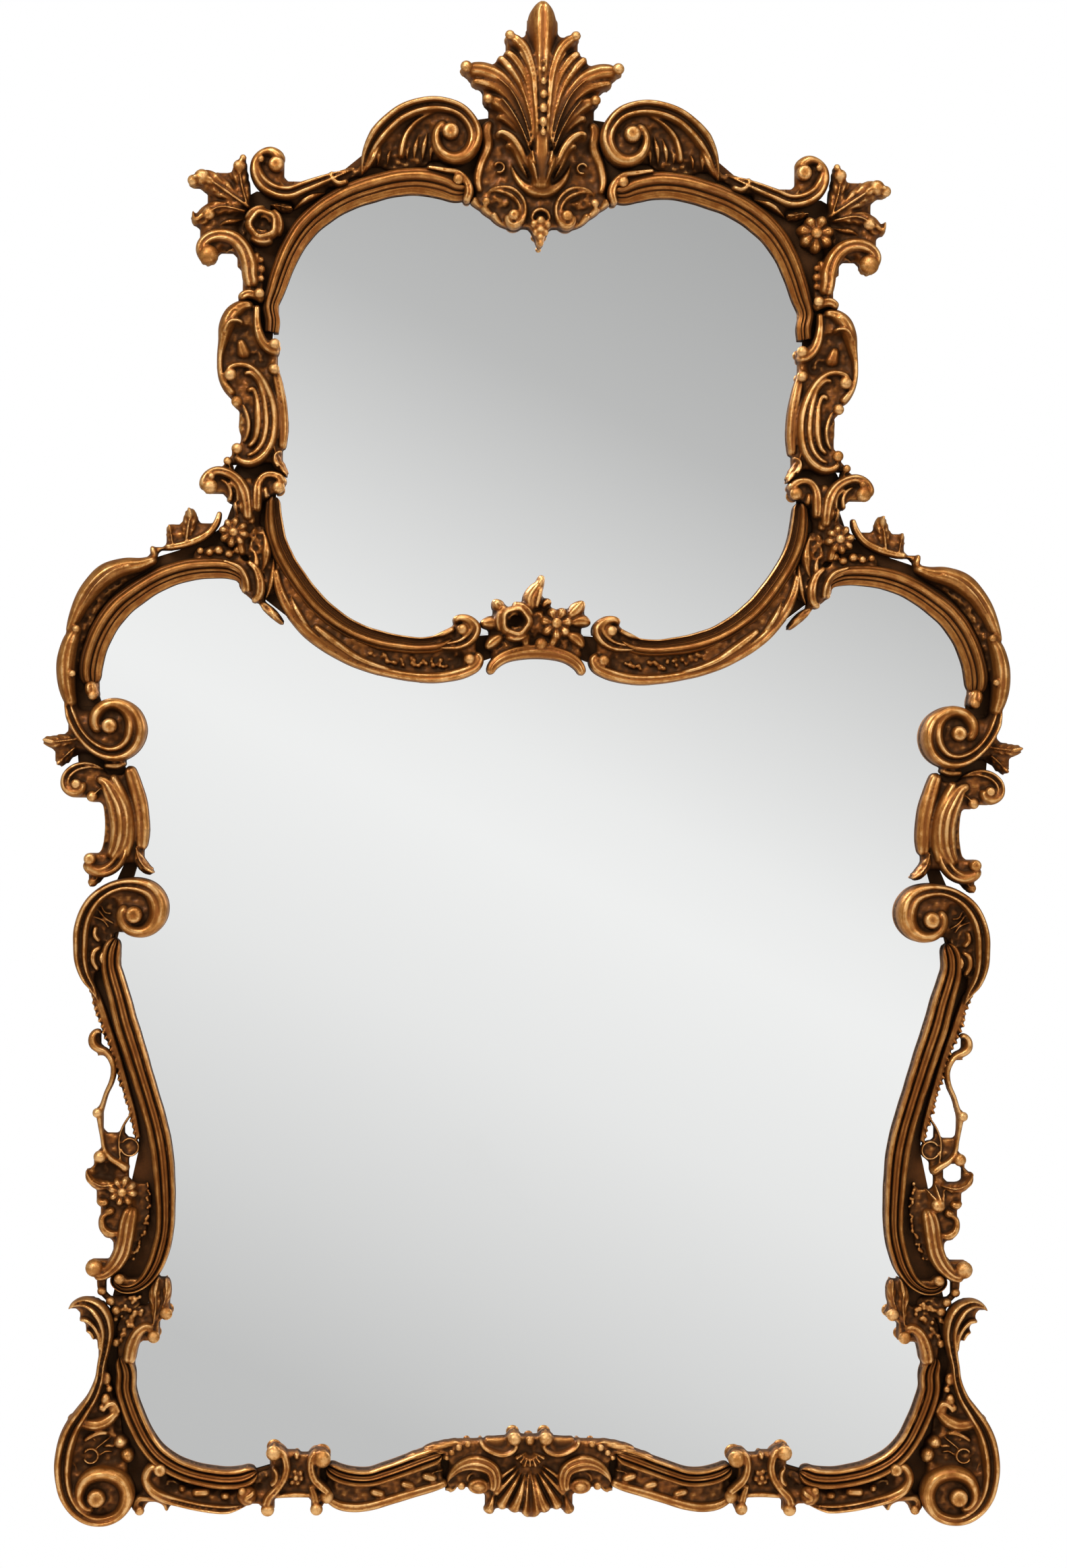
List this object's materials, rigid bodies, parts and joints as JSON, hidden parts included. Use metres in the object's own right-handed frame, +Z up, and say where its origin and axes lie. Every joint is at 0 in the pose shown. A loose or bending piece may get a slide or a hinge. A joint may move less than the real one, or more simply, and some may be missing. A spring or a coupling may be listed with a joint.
{
  "type": "trumeau mirror",
  "caption": "Tall giltwood wall mirror: a shaped upper plate over a larger lower plate, framed by carved mouldings, volutes, flowers, a crest leaf and a shell; hangs by ring hangers.",
  "frame": {"origin": "the wall fixing: centre line of the mirror on the back face of the head rail, 1.9 m above the lowest volute", "axes": "+Z up, -Y the way the mirror faces, +Y into the wall, +X to the right of someone facing it"},
  "size_m": [1.3696, 0.1087, 2.1283],
  "materials": {
    "gilt_wood": "worn gold leaf and toned bole over carved wood",
    "pine": "sawn softwood, darkened with age",
    "backboard": "planed softwood boards, dusty",
    "silvered_glass": "silvered glass, polished",
    "iron": "blackened iron strap",
    "brass": "dull brass"
  },
  "bodies": {
    "root": {"apron_left": "gilt_wood", "apron_right": "gilt_wood", "bottom_clasp_left": "gilt_wood", "bottom_clasp_right": "gilt_wood", "bottom_rail": "pine", "corner_daisy_right": "gilt_wood", "corner_leaves_left": "gilt_wood", "corner_leaves_right": "gilt_wood", "corner_moulding_left": "gilt_wood", "corner_moulding_right": "gilt_wood", "corner_rose_left": "gilt_wood", "corner_volute_left": "gilt_wood", "corner_volute_right": "gilt_wood", "crest_leaf": "gilt_wood", "crest_scroll_left": "gilt_wood", "crest_scroll_right": "gilt_wood", "hanger_screw_left": "brass", "hanger_screw_right": "brass", "hanger_strap_left": "iron", "hanger_strap_right": "iron", "head_moulding_left": "gilt_wood", "head_moulding_right": "gilt_wood", "head_rail": "pine", "lower_backboard": "backboard", "lower_batten_1": "pine", "lower_batten_2": "pine", "lower_plate": "silvered_glass", "lower_stile_left": "pine", "lower_stile_right": "pine", "middle_flowers": "gilt_wood", "middle_moulding_left": "gilt_wood", "middle_moulding_right": "gilt_wood", "middle_rail": "pine", "shell": "gilt_wood", "shoulder_block_left": "pine", "shoulder_block_right": "pine", "shoulder_moulding_left": "gilt_wood", "shoulder_moulding_right": "gilt_wood", "shoulder_volute_left": "gilt_wood", "shoulder_volute_right": "gilt_wood", "side_flower_left": "gilt_wood", "side_flower_right": "gilt_wood", "side_moulding_left": "gilt_wood", "side_moulding_right": "gilt_wood", "side_scroll_left": "gilt_wood", "side_scroll_right": "gilt_wood", "side_volute_left": "gilt_wood", "side_volute_right": "gilt_wood", "upper_backboard": "backboard", "upper_batten": "pine", "upper_plate": "silvered_glass", "upper_side_scroll_left": "gilt_wood", "upper_side_scroll_right": "gilt_wood", "upper_stile_left": "pine", "upper_stile_right": "pine", "waist_scroll_left": "gilt_wood", "waist_scroll_right": "gilt_wood"},
    "hanger_ring_left": {"hanger_ring_left": "brass"},
    "hanger_ring_right": {"hanger_ring_right": "brass"}
  },
  "joints": [
    {"name": "ring_left_swing", "type": "hinge", "parent": "root", "child": "hanger_ring_left", "pos_m": [-0.408, -0.0039, -0.3], "axis": [1, 0, 0], "range_deg": [0, 180]},
    {"name": "ring_right_swing", "type": "hinge", "parent": "root", "child": "hanger_ring_right", "pos_m": [0.408, -0.0039, -0.3], "axis": [1, 0, 0], "range_deg": [0, 180]}
  ]
}
